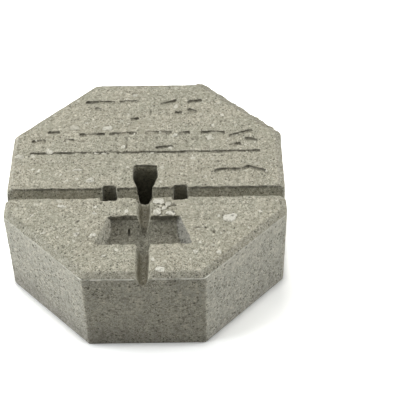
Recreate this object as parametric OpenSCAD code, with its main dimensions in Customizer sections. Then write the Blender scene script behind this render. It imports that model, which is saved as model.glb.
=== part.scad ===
// Precast concrete base block for an upright rod, with channels for a round conductor.
// One solid casting. +Z is up, the underside lies on z = 0, and the middle of the
// octagon is the origin. The front flat faces -Y.

/* [Block] */
// Width across the flats of the octagon
block_w = 300; // [220:5:400]
// Height from the underside to the top face
block_h = 110; // [60:1:160]
// Radius of the eight upright corners
corner_r = 5; // [2:0.5:12]
// Size of the chamfer round the top edge
top_chamfer = 5.5; // [2:0.5:9]
// Distance that the holes, the pocket and the front channel lie to the left of the middle
cast_shift = 1.1; // [0:0.1:3]

/* [Rod hole] */
// Width of the hole's wide back part
hole_w = 26.5; // [20:0.5:36]
// Distance from the octagon's middle back to the hole's back wall
hole_back = 9.5; // [4:0.5:20]
// Length of the wide part, from the back wall to where the sides turn in
hole_wide_l = 19; // [12:0.5:28]
// Length over which the sides turn in to the neck
hole_turn_l = 12; // [6:0.5:18]
// Width of the neck where the sides stop turning in
neck_w = 18; // [15.5:0.5:21]
// Width of the neck's round front end
neck_end_w = 13.5; // [9:0.5:15]
// Length of the neck, from where the sides stop turning in to its front end
neck_l = 11; // [8:0.5:20]
// Radius of the hole's two back corners
hole_corner_r = 3; // [1:0.5:6]

/* [Channels] */
// Width of both channels at the top face
channel_w = 14.4; // [10:0.2:20]
// Depth below the top face of the shoulder, where the channels' walls start to lean in more
shoulder_depth = 7; // [4:0.5:10]
// Distance each wall leans in above that shoulder
shoulder_in = 1.6; // [0.4:0.2:1.8]
// Depth of both channels below the top face
channel_depth = 18; // [14:0.5:24]
// Radius of the channels' round bottom
channel_bottom_r = 3; // [1.5:0.25:4]
// Distance of the cross channel in front of the octagon's middle
cross_channel_y = 32; // [24:0.2:44]
// Radius of the rounded corners where the channels cross
crossing_r = 5; // [2:0.5:8]

/* [Side holes] */
// Distance of each side hole's middle from the line of the front channel
side_hole_x = 38.2; // [28:0.2:60]
// Length of a side hole, front to back
side_hole_l = 21; // [16:0.5:30]
// Width of a side hole at its back
side_hole_back_w = 14; // [8:0.5:18]
// Width of a side hole at its front
side_hole_front_w = 17.5; // [10:0.5:22]

/* [Clamp pocket] */
// Distance of the pocket's back edge in front of the octagon's middle
pocket_back_y = 67; // [58:0.5:80]
// Length of the pocket, front to back
pocket_l = 38.5; // [30:0.5:50]
// Width of the pocket's back edge
pocket_back_w = 75; // [60:1:90]
// Width of the pocket's front edge
pocket_front_w = 102; // [80:1:120]
// Depth of the pocket's upright back wall
pocket_back_depth = 7; // [4:0.5:10]
// Length of the ramp that runs down from that wall to the pocket's floor
pocket_ramp_l = 13.5; // [10:0.5:24]
// Lean of the pocket's side walls, away from upright
pocket_side_lean = 24; // [8:1:30]
// Width of the shallow valley that leads the ramp and the floor down to the front channel
valley_w = 20; // [12:1:30]
// Depth of that valley below the pocket's level floor, down to the channel's bottom
valley_depth = 3; // [1:0.5:4]

/* [Shallow strokes] */
// Depth of every stroke below the top face
stroke_depth = 2.8; // [1:0.1:4]
// Width of a short stroke, front to back
stroke_w = 4.2; // [2.4:0.2:8]
// Width of the long stroke, front to back
long_stroke_w = 3; // [1.8:0.2:6]

/* [Hidden] */
$fn = 48;
concrete = [0.66, 0.64, 0.58];
slack = 1;
flats = 8;
flat_angle = 360 / flats;
corner_steps = 4;
corner_step = flat_angle / corner_steps;
corner_reach = (block_w / 2 - corner_r) / cos(flat_angle / 2);
top_z = block_h;
through_h = block_h + 2 * slack;
cut_span = 2 * block_w;
turn_back_y = hole_back - hole_wide_l;
turn_front_y = turn_back_y - hole_turn_l;
hole_front_y = turn_front_y - neck_l;
pocket_front_y = pocket_back_y + pocket_l;
pocket_flare = atan((pocket_front_w - pocket_back_w) / 2 / pocket_l);
pocket_depth = channel_depth - valley_depth;
ramp_front_y = pocket_back_y + pocket_ramp_l;
ramp_angle = atan((pocket_depth - pocket_back_depth) / pocket_ramp_l);
// The strokes are laid out for a block of this width, and the layout grows or shrinks with the block
layout_w = 300;
layout_scale = block_w / layout_w;
// Each stroke: x and y of its back left corner, its length and its turn
upper_row = [[-72, 117, 34, 0], [-33, 118, 21, 0], [14, 112, 19, 22], [44, 116, 18, 9],
             [-60, 107, 8, -20], [-20, 87, 9, 10], [31, 99, 8, -20], [46, 103, 12, -25]];
lower_row = [[-129, 52, 16, 4], [-112, 67, 14, -6], [-93, 53, 11, 6], [-77, 62.5, 29, 1],
             [-43, 63, 31, 2], [-3, 64, 30, 1], [35, 63, 13, 5], [60, 64, 27, -1],
             [91, 57, 28, 20], [110, 53, 14, -14], [9, 39.5, 20, 7], [91, 42, 14, 12]];
side_row = [[73, 1, 12, 18], [83, 4, 21, -3], [102, 3, 12, 26], [112, 8, 22, -22]];
long_stroke = [-129, 32, 255, 0];

// Points on an arc about c, from angle a0 to angle a1
function arc(c, r, a0, a1, steps) =
    [for (i = [0 : steps]) c + r * [cos(a0 + (a1 - a0) * i / steps), sin(a0 + (a1 - a0) * i / steps)]];

// Middle of the rounding at corner i of the octagon
function corner_middle(i) = corner_reach * [cos(corner_angle(i)), sin(corner_angle(i))];
function corner_angle(i) = flat_angle * (i + 0.5);

// Outline of the octagon with its rounded corners
function block_outline() =
    [for (i = [0 : flats - 1])
        each arc(corner_middle(i), corner_r, corner_angle(i) - flat_angle / 2,
                 corner_angle(i) + flat_angle / 2, corner_steps)];

// Distance from the middle to the small side s of corner i's rounding
function rounding_distance(s) =
    corner_reach * cos(rounding_angle(s)) + corner_r * cos(corner_step / 2);
function rounding_angle(s) = -flat_angle / 2 + corner_step * (s + 0.5);

// One plane cut of the top chamfer, on the side that faces the given angle
module chamfer_cut(angle, distance)
    rotate([0, 0, angle])
        translate([distance, 0, top_z - top_chamfer])
            rotate([0, -45, 0])
                translate([0, -block_w, -slack])
                    cube([2 * top_chamfer, 2 * block_w, 2 * top_chamfer + slack]);

module top_chamfer_cuts() {
    for (i = [0 : flats - 1]) {
        chamfer_cut(flat_angle * i, block_w / 2);
        for (s = [0 : corner_steps - 1])
            chamfer_cut(corner_angle(i) + rounding_angle(s), rounding_distance(s));
    }
}

// Plan of the rod hole: wide at the back, then a neck with a round front end
function rod_hole_outline() =
    let (half = hole_w / 2, inner = half - hole_corner_r, back = hole_back - hole_corner_r)
    concat(arc([inner, back], hole_corner_r, 0, 90, 4),
           arc([-inner, back], hole_corner_r, 90, 180, 4),
           [[-half, turn_back_y], [-neck_w / 2, turn_front_y]],
           arc([0, hole_front_y + neck_end_w / 2], neck_end_w / 2, 186, 354, 8),
           [[neck_w / 2, turn_front_y], [half, turn_back_y]]);

module rod_hole()
    translate([0, 0, -slack])
        linear_extrude(through_h)
            polygon(rod_hole_outline());

// Cross-section of a channel: steep upper walls, then leaning walls and a round bottom
function channel_outline() =
    let (half = channel_w / 2, shoulder = half - shoulder_in)
    concat([[half, slack], [half, 0], [shoulder, -shoulder_depth]],
           arc([0, channel_bottom_r - channel_depth], channel_bottom_r, -15, -165, 8),
           [[-shoulder, -shoulder_depth], [-half, 0], [-half, slack]]);

// A channel that runs from y0 to y1 along the Y direction
module channel(y0, y1)
    translate([0, y1, top_z])
        rotate([90, 0, 0])
            linear_extrude(y1 - y0)
                polygon(channel_outline());

module front_channel()
    channel(-block_w / 2 - slack, hole_front_y + neck_end_w);

module cross_channel()
    translate([0, -cross_channel_y, 0])
        rotate([0, 0, 90])
            channel(-block_w / 2 - slack, block_w / 2 + slack);

// Rounds one corner between the cross channel and the front channel
module crossing_corner(side) {
    wall_y = -cross_channel_y - channel_w / 2;
    wall_x = channel_w / 2;
    translate([side * wall_x, wall_y, top_z - shoulder_depth])
        difference() {
            translate([side > 0 ? -slack : -crossing_r, -crossing_r, 0])
                cube([crossing_r + slack, crossing_r + slack, shoulder_depth + slack]);
            translate([side * crossing_r, -crossing_r, -slack])
                cylinder(h = shoulder_depth + 3 * slack, r = crossing_r);
        }
}

// Side hole: a block-deep slot that is wider at its front
module side_hole(side)
    translate([side * side_hole_x, -cross_channel_y, -slack])
        linear_extrude(through_h)
            polygon([[-side_hole_back_w / 2, side_hole_l / 2], [side_hole_back_w / 2, side_hole_l / 2],
                     [side_hole_front_w / 2, -side_hole_l / 2], [-side_hole_front_w / 2, -side_hole_l / 2]]);

// Long section of the pocket: upright back wall, ramp, level floor, upright front wall
module pocket_section()
    translate([-cut_span / 2, 0, top_z])
        rotate([90, 0, 90])
            linear_extrude(cut_span)
                polygon([[-pocket_back_y, slack], [-pocket_back_y, -pocket_back_depth],
                         [-ramp_front_y, -pocket_depth],
                         [-pocket_front_y, -pocket_depth], [-pocket_front_y, slack]]);

// Everything that lies inside the pocket's right side wall
module inside_right_wall()
    translate([pocket_back_w / 2, -pocket_back_y, top_z])
        rotate([0, 0, pocket_flare])
            rotate([0, pocket_side_lean, 0])
                translate([-cut_span, -cut_span / 2, -cut_span / 2])
                    cube([cut_span, cut_span, cut_span]);

module clamp_pocket()
    intersection() {
        pocket_section();
        inside_right_wall();
        mirror([1, 0, 0]) inside_right_wall();
    }

// Cross-section of the valley, square to its lowest line, a little higher than the floor beside it
function valley_outline(lean) =
    let (rise = valley_depth + slack, half = valley_w / 2 * rise / valley_depth / cos(lean))
    [[-half, rise], [0, 0], [half, rise]];

// Valley between two distances in front of the middle, with the depth and lean of its lowest line
module valley(back_y, front_y, back_depth, lean)
    intersection() {
        translate([0, -back_y, top_z - back_depth])
            rotate([90 + lean, 0, 0])
                linear_extrude(4 * pocket_l, center = true)
                    polygon(valley_outline(lean));
        translate([-cut_span / 2, -front_y, 0])
            cube([cut_span, front_y - back_y, through_h]);
    }

// The valley follows the ramp down, then the floor to the front channel
module pocket_valley() {
    valley(pocket_back_y, ramp_front_y, pocket_back_depth + valley_depth, ramp_angle);
    valley(ramp_front_y, pocket_front_y, channel_depth, 0);
}

// Plan of one stroke of the given width
module stroke(place, width)
    translate([place[0], place[1]])
        rotate(place[3])
            translate([0, -width])
                square([place[2], width]);

module shallow_strokes()
    translate([0, 0, top_z - stroke_depth])
        linear_extrude(stroke_depth + slack)
            scale([layout_scale, layout_scale]) {
                for (place = concat(upper_row, lower_row, side_row)) stroke(place, stroke_w);
                stroke(long_stroke, long_stroke_w);
            }

// The cuts that lie about the line of the front channel
module middle_cuts() {
    rod_hole();
    front_channel();
    crossing_corner(1);
    crossing_corner(-1);
    side_hole(1);
    side_hole(-1);
    clamp_pocket();
    pocket_valley();
}

module base_block()
    color(concrete)
        difference() {
            linear_extrude(block_h) polygon(block_outline());
            top_chamfer_cuts();
            cross_channel();
            translate([-cast_shift, 0, 0]) middle_cuts();
            shallow_strokes();
        }

base_block();
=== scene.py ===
"""Looks of a precast concrete base block: a rough cast skin, exposed stones and a plain studio."""
import logging
import math
from dataclasses import dataclass, field
from enum import Enum
from typing import Any, Sequence

import bmesh
import bpy
import numpy as np
from mathutils import Matrix, Vector


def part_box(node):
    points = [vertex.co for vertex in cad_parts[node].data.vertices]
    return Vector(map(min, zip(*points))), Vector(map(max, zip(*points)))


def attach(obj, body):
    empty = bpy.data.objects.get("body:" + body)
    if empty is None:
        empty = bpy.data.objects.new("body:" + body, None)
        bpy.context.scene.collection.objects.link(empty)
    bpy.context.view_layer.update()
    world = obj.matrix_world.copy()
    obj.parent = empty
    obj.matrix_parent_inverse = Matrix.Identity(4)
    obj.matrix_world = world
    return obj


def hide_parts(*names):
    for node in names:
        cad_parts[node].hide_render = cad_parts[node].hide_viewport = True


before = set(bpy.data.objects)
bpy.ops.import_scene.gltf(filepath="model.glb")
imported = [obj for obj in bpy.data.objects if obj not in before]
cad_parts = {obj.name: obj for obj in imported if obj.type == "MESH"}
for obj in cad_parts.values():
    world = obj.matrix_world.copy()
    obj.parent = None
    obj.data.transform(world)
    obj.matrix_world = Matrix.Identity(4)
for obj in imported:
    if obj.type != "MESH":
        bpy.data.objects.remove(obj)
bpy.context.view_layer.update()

LOG = logging.getLogger("base_block")
MM = 0.001
NODE = "base_block"
BODY = "root"


class Face(Enum):
    """The kinds of surface on the casting, each with its own roughness."""

    TOP = "top"
    SIDE = "side"
    UNDERSIDE = "underside"
    RECESS = "recess"


# ---------------------------------------------------------------------------
# Sizes of the casting that the surface work follows, in metres
# ---------------------------------------------------------------------------


@dataclass(frozen=True)
class CastingPlan:
    """Places of the casting's features, worked out from the frame and a few sizes."""

    low: Vector
    high: Vector
    top_chamfer: float = 5.5 * MM
    channel_width: float = 14.4 * MM
    cast_shift: float = -1.1 * MM
    cross_channel_y: float = -32.0 * MM
    side_hole_x: float = 38.2 * MM
    pocket_back_y: float = -67.0 * MM
    pocket_length: float = 38.5 * MM
    pocket_pit_x: float = -17.0 * MM
    pocket_pit_y: float = -77.5 * MM
    stroke_depth: float = 2.8 * MM

    @classmethod
    def from_frame(cls, node: str) -> "CastingPlan":
        """Reads the casting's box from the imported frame.

        Args:
            node: name of the CAD node.

        Returns:
            The plan of the casting.
        """
        low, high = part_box(node)
        return cls(low=low, high=high)

    @property
    def half_width(self) -> float:
        """Distance from the middle of the octagon to each flat."""
        return (self.high.x - self.low.x) / 2

    @property
    def height(self) -> float:
        """Height of the top face."""
        return self.high.z

    @property
    def burr_height(self) -> float:
        """Height of the burr, which runs along the chamfer's lower edge."""
        return self.height - self.top_chamfer

    def octagon_distance(self, points: np.ndarray) -> np.ndarray:
        """Distance of each point from the block's upright axis, measured across the nearest flat.

        Args:
            points: places, one row each.

        Returns:
            One distance for each point.
        """
        x, y = np.abs(points[:, 0]), np.abs(points[:, 1])
        return np.maximum(np.maximum(x, y), (x + y) / math.sqrt(2))


# ---------------------------------------------------------------------------
# Noise for the mesh work
# ---------------------------------------------------------------------------


@dataclass(frozen=True)
class LatticeNoise:
    """Repeatable noise on a cubic lattice."""

    seed: int

    def _hash(self, cell: np.ndarray, salt: int) -> np.ndarray:
        """A number from 0 to 1 for each lattice cell.

        Args:
            cell: whole-number place of each cell, one row each.
            salt: picks one of several unlike numbers for the same cell.

        Returns:
            One number for each cell.
        """
        c = cell.astype(np.int64).astype(np.uint64)
        h = c[:, 0] * np.uint64(73856093) ^ c[:, 1] * np.uint64(19349663)
        h = h ^ c[:, 2] * np.uint64(83492791) ^ np.uint64(self.seed * 2654435761 + salt * 40503)
        h = (h ^ (h >> np.uint64(13))) * np.uint64(0x9E3779B97F4A7C15)
        h = (h ^ (h >> np.uint64(29))) * np.uint64(0xBF58476D1CE4E5B9)
        return ((h >> np.uint64(40)).astype(np.float64)) / float(1 << 24)

    def smooth(self, points: np.ndarray, size: float, stretch: Sequence[float] = (1, 1, 1)) -> np.ndarray:
        """Smooth noise from -1 to 1.

        Args:
            points: places, one row each.
            size: size of the noise's bumps.
            stretch: how much longer the bumps are along each axis.

        Returns:
            One value for each point.
        """
        q = points / (size * np.asarray(stretch))
        base = np.floor(q)
        f = q - base
        f = f * f * (3 - 2 * f)
        total = np.zeros(len(points))
        for corner in range(8):
            bits = np.array([corner & 1, corner >> 1 & 1, corner >> 2 & 1])
            weight = np.prod(np.where(bits, f, 1 - f), axis=1)
            total += weight * self._hash(base + bits, 0)
        return total * 2 - 1

    def layered(self, points: np.ndarray, size: float, layers: int) -> np.ndarray:
        """Several sizes of smooth noise added together, each half as large and half as strong.

        Args:
            points: places, one row each.
            size: size of the largest bumps.
            layers: how many sizes are added.

        Returns:
            One value from -1 to 1 for each point.
        """
        total = sum(LatticeNoise(self.seed + n).smooth(points, size / 2**n) / 2**n for n in range(layers))
        return total / (2 - 2.0 ** (1 - layers))

    def hollows(self, points: np.ndarray, cell: float, share: float, smallest: float) -> np.ndarray:
        """Round hollows scattered one to a cell.

        Args:
            points: places, one row each.
            cell: size of the cells.
            share: share of the cells that hold a hollow.
            smallest: the smallest radius, as a share of the largest, which is 0.4 of a cell.

        Returns:
            Depth of the hollow at each point, from 0 to 1.
        """
        q = points / cell
        base = np.floor(q)
        deepest = np.zeros(len(points))
        for dx in (-1, 0, 1):
            for dy in (-1, 0, 1):
                for dz in (-1, 0, 1):
                    near = base + (dx, dy, dz)
                    middle = np.stack([self._hash(near, salt) for salt in (1, 2, 3)], axis=1)
                    radius = 0.4 * (smallest + (1 - smallest) * self._hash(near, 4))
                    away = np.linalg.norm(q - near - middle, axis=1)
                    depth = np.clip(1 - (away / radius) ** 2, 0, 1) * (self._hash(near, 5) < share)
                    deepest = np.maximum(deepest, depth * radius / 0.4)
        return deepest


# ---------------------------------------------------------------------------
# Material building
# ---------------------------------------------------------------------------


class Sock:
    """A value in a node tree, with the arithmetic that the finishes use."""

    def __init__(self, graph: "Graph", socket: bpy.types.NodeSocket) -> None:
        """Wraps one output socket of the graph."""
        self.graph = graph
        self.socket = socket

    def _math(self, operation: str, *terms: Any) -> "Sock":
        """Adds one Math node on the given terms."""
        return self.graph.node("ShaderNodeMath", {"operation": operation}, dict(enumerate(terms))).out(0)

    def __add__(self, other: Any) -> "Sock":
        """This value plus another."""
        return self._math("ADD", self, other)

    def __sub__(self, other: Any) -> "Sock":
        """This value less another."""
        return self._math("SUBTRACT", self, other)

    def __rsub__(self, other: Any) -> "Sock":
        """Another value less this one."""
        return self._math("SUBTRACT", other, self)

    def __mul__(self, other: Any) -> "Sock":
        """This value times another."""
        return self._math("MULTIPLY", self, other)

    __radd__ = __add__
    __rmul__ = __mul__

    def __abs__(self) -> "Sock":
        """Size of this value without its sign."""
        return self._math("ABSOLUTE", self)

    def larger(self, other: Any) -> "Sock":
        """The larger of this value and another."""
        return self._math("MAXIMUM", self, other)

    def step(self, low: float, high: float) -> "Sock":
        """Smooth rise from 0 at low to 1 at high, or a fall where low is above high.

        Args:
            low: the value that gives 0.
            high: the value that gives 1.

        Returns:
            The risen value.
        """
        if low > high:
            return 1 - self.step(high, low)
        values = {"Value": self, "From Min": low, "From Max": high}
        return self.graph.node("ShaderNodeMapRange", {"interpolation_type": "SMOOTHSTEP"}, values).out(0)


class Node:
    """One node of a graph and its outputs."""

    def __init__(self, graph: "Graph", raw: bpy.types.Node) -> None:
        """Wraps a node that the graph has made."""
        self.graph = graph
        self.raw = raw

    def out(self, key: Any) -> Sock:
        """One of the node's outputs, by name or place."""
        return Sock(self.graph, self.raw.outputs[key])


class Graph:
    """A node tree under construction."""

    def __init__(self, tree: bpy.types.NodeTree) -> None:
        """Starts on an empty tree."""
        self.tree = tree
        tree.nodes.clear()

    def node(
        self, kind: str, settings: dict[str, Any] | None = None, values: dict[Any, Any] | None = None
    ) -> Node:
        """Adds a node.

        Args:
            kind: the node's type.
            settings: the node's own settings, which are made first.
            values: number, colour or Sock for each input, by name or place.

        Returns:
            The new node.
        """
        raw = self.tree.nodes.new(kind)
        for name, setting in (settings or {}).items():
            setattr(raw, name, setting)
        for key, value in (values or {}).items():
            target = raw.inputs[key]
            if isinstance(value, Sock):
                self.tree.links.new(value.socket, target)
            else:
                target.default_value = value
        return Node(self, raw)

    def mix(self, factor: Any, first: Any, second: Any, blend: str = "MIX") -> Sock:
        """Mixes two colours by a factor."""
        settings = {"data_type": "RGBA", "blend_type": blend, "clamp_factor": True}
        return self.node("ShaderNodeMix", settings, {0: factor, 6: first, 7: second}).out(2)

    def noise(self, place: Any, size: float, detail: float = 2.0, roughness: float = 0.5) -> Sock:
        """Noise from 0 to 1 whose bumps are about the given size in metres."""
        values = {"Vector": place, "Scale": 1 / size, "Detail": detail, "Roughness": roughness}
        return self.node("ShaderNodeTexNoise", {}, values).out(0)

    def grains(self, place: Any, size: float) -> tuple[Sock, Sock]:
        """Grains about the given size in metres.

        Args:
            place: where the grains are read.
            size: size of one grain.

        Returns:
            Distance from each grain's middle in grain sizes, and a random number for each grain.
        """
        cells = self.node("ShaderNodeTexVoronoi", {}, {"Vector": place, "Scale": 1 / size})
        parts = self.node("ShaderNodeSeparateColor", {}, {0: cells.out("Color")})
        return cells.out("Distance"), parts.out(0)


def rgba(red: float, green: float, blue: float) -> tuple[float, float, float, float]:
    """An opaque colour."""
    return (red, green, blue, 1.0)


@dataclass(frozen=True)
class Surface:
    """What the marks on the concrete are worked out from, at each place on it."""

    g: Graph
    plan: CastingPlan
    place: Sock
    x: Sock
    y: Sock
    z: Sock
    turned: tuple[Sock, Sock, Sock]
    across: Sock
    inside: Sock
    outer: Sock
    below: Sock

    @classmethod
    def read(cls, g: Graph, plan: CastingPlan) -> "Surface":
        """Adds the nodes that read the surface's place and direction.

        Args:
            g: graph of the material.
            plan: places of the casting's features.

        Returns:
            The values at each place.
        """
        place = g.node("ShaderNodeTexCoord").out("Object")
        xyz = g.node("ShaderNodeSeparateXYZ", {}, {0: place})
        x, y, z = (xyz.out(n) for n in range(3))
        facing = g.node("ShaderNodeSeparateXYZ", {}, {0: g.node("ShaderNodeNewGeometry").out("Normal")})
        turned = (facing.out(0), facing.out(1), facing.out(2))
        across = abs(x).larger(abs(y)).larger((abs(x) + abs(y)) * math.sqrt(0.5))
        inside = across.step(plan.half_width - 2.0 * MM, plan.half_width - 3.5 * MM)
        outer = (1 - inside) * z.step(plan.burr_height + 1 * MM, plan.burr_height - 1 * MM)
        return cls(g, plan, place, x, y, z, turned, across, inside, outer, plan.height - z)

    @property
    def level(self) -> Sock:
        """1 where the surface faces up."""
        return self.turned[2].step(0.55, 0.85)

    @property
    def sunk(self) -> Sock:
        """1 in the recesses of the top, below their rims."""
        return self.below.step(4 * MM, 8 * MM) * self.inside

    @property
    def in_slot(self) -> Sock:
        """0 in the rows of the clamp pocket, 1 in front of it and behind it."""
        behind = self.y.step(-68 * MM, -66 * MM)
        return behind.larger(self.y.step(-104 * MM, -107 * MM))

    @property
    def in_front_channel(self) -> Sock:
        """1 in the channel that runs from the rod hole to the front."""
        aside = abs(self.x - self.plan.cast_shift)
        return aside.step(10.5 * MM, 9.5 * MM) * self.y.step(-38 * MM, -40 * MM)

    def noise(self, size: float, detail: float = 2.0, roughness: float = 0.5) -> Sock:
        """Noise from 0 to 1 over the surface, with bumps of about the given size."""
        return self.g.noise(self.place, size, detail, roughness)

    def grains(self, size: float) -> tuple[Sock, Sock]:
        """Grains over the surface: distance from each one's middle, and a number for each."""
        return self.g.grains(self.place, size)


@dataclass(frozen=True)
class ConcreteFinish:
    """Dry-cast concrete: sandy, mottled, with light grit and dark pores, with painted shade in its hollows,
    recesses, holes, chamfer, front face and foot, painted light on the upper sides and a pale painted
    highlight along the burr line.
    """

    warm: tuple[float, float, float, float] = rgba(0.465, 0.436, 0.342)
    cool: tuple[float, float, float, float] = rgba(0.438, 0.422, 0.333)
    mould_face: tuple[float, float, float, float] = rgba(0.412, 0.402, 0.36)
    # Pale grit colour, also used as painted light on the upper sides.
    light_grit_and_painted_light: tuple[float, float, float, float] = rgba(0.74, 0.705, 0.59)
    dark_grit: tuple[float, float, float, float] = rgba(0.20, 0.19, 0.145)
    # Dark colour of the real pores and pits, also used as painted shade in hollows, in recess blotches, under
    # the back walls' lips and in the pocket pit.
    pore_and_shade: tuple[float, float, float, float] = rgba(0.10, 0.095, 0.075)
    # Painted shade: near-black colour for the walls of the deep holes.
    hole: tuple[float, float, float, float] = rgba(0.085, 0.09, 0.088)
    # Painted highlight: the pale colour of the burr line.
    burr: tuple[float, float, float, float] = rgba(0.84, 0.82, 0.74)
    # Painted shade on the floors of the recesses.
    recess_shade: tuple[float, float, float, float] = rgba(0.52, 0.52, 0.51)
    # Painted shade on the clamp pocket's left and right walls; the right wall's is darker and bluer.
    left_wall_shade: tuple[float, float, float, float] = rgba(0.93, 0.93, 0.95)
    right_wall_shade: tuple[float, float, float, float] = rgba(0.59, 0.60, 0.65)
    # Painted shade on the front channel's walls, and on its rims inside the clamp pocket.
    channel_wall_shade: tuple[float, float, float, float] = rgba(0.93, 0.93, 0.93)
    pocket_rim_shade: tuple[float, float, float, float] = rgba(0.68, 0.68, 0.67)
    # Painted shade on the chamfer round the top.
    chamfer_shade: tuple[float, float, float, float] = rgba(0.87, 0.87, 0.88)
    # Painted shade on the front face, and on the sides towards the foot.
    front_shade: tuple[float, float, float, float] = rgba(0.92, 0.91, 0.885)
    foot_shade: tuple[float, float, float, float] = rgba(0.72, 0.71, 0.72)
    patch_size: float = 42 * MM
    cloud_size: float = 9 * MM
    sandy_patch_size: float = 30 * MM
    grit_size: float = 2.3 * MM
    sand_size: float = 1.3 * MM
    dust_size: float = 0.7 * MM
    fleck_size: float = 5.5 * MM
    pore_size: float = 3.6 * MM
    streak_width: float = 3.5 * MM
    streak_squash: float = 0.07
    side_cloud_size: float = 19 * MM
    side_pit_size: float = 4.6 * MM
    side_pit_cluster: float = 26 * MM
    blotch_size: float = 3.0 * MM
    roughness: float = 0.93
    shine: float = 0.25
    bump_strength: float = 0.7
    bump_height: float = 0.5 * MM

    def build(self, plan: CastingPlan) -> bpy.types.Material:
        """Builds the material.

        Args:
            plan: places of the burr line and the recesses.

        Returns:
            The finished material.
        """
        material = bpy.data.materials.new("Dry cast concrete")
        material.use_nodes = True
        g = Graph(material.node_tree)
        s = Surface.read(g, plan)
        sand = s.noise(self.sand_size, 2.0, 0.7)
        _, grit_pick = s.grains(self.grit_size)
        pore_away, pore_pick = s.grains(self.pore_size)
        pore_and_shade = pore_away.step(0.32, 0.18) * pore_pick.step(0.60, 0.68)

        colour = self._ground(s)
        colour = self._grit(s, colour, sand, grit_pick)
        colour = g.mix(pore_and_shade * 0.8, colour, self.pore_and_shade)
        colour = self._sides(s, colour)
        colour = self._rim(s, colour)
        colour = self._recesses(s, colour)
        colour = self._pocket(s, colour)
        colour = self._front_channel(s, colour)
        # Painted shade on the walls of the holes.
        colour = g.mix(self._hole_shade_mask(s) * 0.4, colour, self.hole)
        # Painted shade: the colour darkens where the surface is hollow, as in the strokes, crevices and inner
        # corners.
        hollow = g.node("ShaderNodeAttribute", {"attribute_name": "hollow"}).out("Fac")
        shade = s.noise(5 * MM, 2.0, 0.7).step(0.2, 0.6)
        colour = g.mix(hollow * shade * 0.85, colour, self.pore_and_shade)

        height = sand * 0.6 + grit_pick * 0.25 + s.noise(self.dust_size, 1.0) * 0.3 - pore_and_shade * 0.9
        values = {"Strength": self.bump_strength, "Distance": self.bump_height, "Height": height}
        bump = g.node("ShaderNodeBump", {}, values)
        values = {"Base Color": colour, "Roughness": self.roughness, "Normal": bump.out(0)}
        surface = g.node("ShaderNodeBsdfPrincipled", {}, values)
        surface.raw.inputs["Specular IOR Level"].default_value = self.shine
        g.node("ShaderNodeOutputMaterial", {}, {0: surface.out(0)})
        return material

    def _ground(self, s: Surface) -> Sock:
        """Mottled ground colour, a little cooler on the faces that lay against the mould.

        Args:
            s: the surface's values.

        Returns:
            The colour at each place.
        """
        patch = s.noise(self.patch_size, 3.0, 0.6)
        cloud = s.noise(self.cloud_size, 3.0, 0.6)
        colour = s.g.mix(patch.step(0.38, 0.62), self.cool, self.warm)
        colour = s.g.mix(s.outer * 0.8, colour, self.mould_face)
        return s.g.mix(cloud.step(0.25, 0.75) * 0.25, colour, self.dark_grit)

    def _grit(self, s: Surface, colour: Sock, sand: Sock, grit_pick: Sock) -> Sock:
        """Light and dark grit, sand in the sandy patches, and light flecks on the top.

        Args:
            s: the surface's values.
            colour: the ground colour.
            sand: fine noise of the sand.
            grit_pick: a random number for each grain of grit.

        Returns:
            The colour at each place.
        """
        sandy = s.noise(self.sandy_patch_size, 3.0, 0.6).step(0.36, 0.60) * 0.5 + 0.5
        colour = s.g.mix(grit_pick.step(0.62, 1.0) * 0.5, colour, self.light_grit_and_painted_light)
        colour = s.g.mix(grit_pick.step(0.32, 0.0) * 0.5, colour, self.dark_grit)
        colour = s.g.mix(sand.step(0.52, 0.66) * sandy * 0.9, colour, self.light_grit_and_painted_light)
        colour = s.g.mix(sand.step(0.47, 0.32) * sandy, colour, self.dark_grit)
        fleck_away, fleck_pick = s.grains(self.fleck_size)
        fleck = fleck_away.step(0.30, 0.20) * fleck_pick.step(0.70, 0.90)
        return s.g.mix(fleck * s.level * 0.8, colour, self.light_grit_and_painted_light)

    def _sides(self, s: Surface, colour: Sock) -> Sock:
        """Faint streaks and small dark pits that the mould leaves on the sides, with painted light on their
        upper part, strongest on the right, and painted shade on the front face and towards the foot.

        Args:
            s: the surface's values.
            colour: the colour so far.

        Returns:
            The colour at each place.
        """
        g, outer = s.g, s.outer
        front = s.y.step(-147.5 * MM, -149 * MM)
        rightwards = s.x.step(-60 * MM, 60 * MM)
        squash = {"Vector": s.place, "Scale": (1, 1, self.streak_squash)}
        upright = g.node("ShaderNodeMapping", {}, squash).out(0)
        streak = g.noise(upright, self.streak_width, 2.0, 0.6)
        colour = g.mix(outer * streak.step(0.52, 0.72) * 0.14, colour, self.light_grit_and_painted_light)
        colour = g.mix(outer * streak.step(0.48, 0.28) * 0.16, colour, self.dark_grit)
        cloud = s.noise(self.side_cloud_size, 2.0, 0.6)
        colour = g.mix(outer * cloud.step(0.45, 0.65) * 0.14, colour, self.light_grit_and_painted_light)
        # Painted light on the upper part of the sides, stronger towards the right, not on the front.
        upper = s.z.step(s.plan.burr_height - 30 * MM, s.plan.burr_height - 4 * MM) * (1 - front)
        upper = upper * (rightwards * 0.13 + 0.09)
        colour = g.mix(outer * upper, colour, self.light_grit_and_painted_light)
        # Painted shade towards the foot, less on the right, and on the front face.
        foot = s.z.step(60 * MM, 0.0) * (1 - rightwards * 0.6)
        colour = g.mix(outer * foot, colour, self.foot_shade, "MULTIPLY")
        colour = g.mix(outer * front, colour, self.front_shade, "MULTIPLY")
        pit_away, pit_pick = s.grains(self.side_pit_size)
        pit = pit_away.step(0.36, 0.20) * pit_pick.step(0.54, 0.62)
        pit = pit * (s.noise(self.side_pit_cluster, 2.0, 0.6).step(0.38, 0.58) * 0.8 + 0.2)
        return g.mix(outer * pit * 0.85, colour, self.pore_and_shade)

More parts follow.
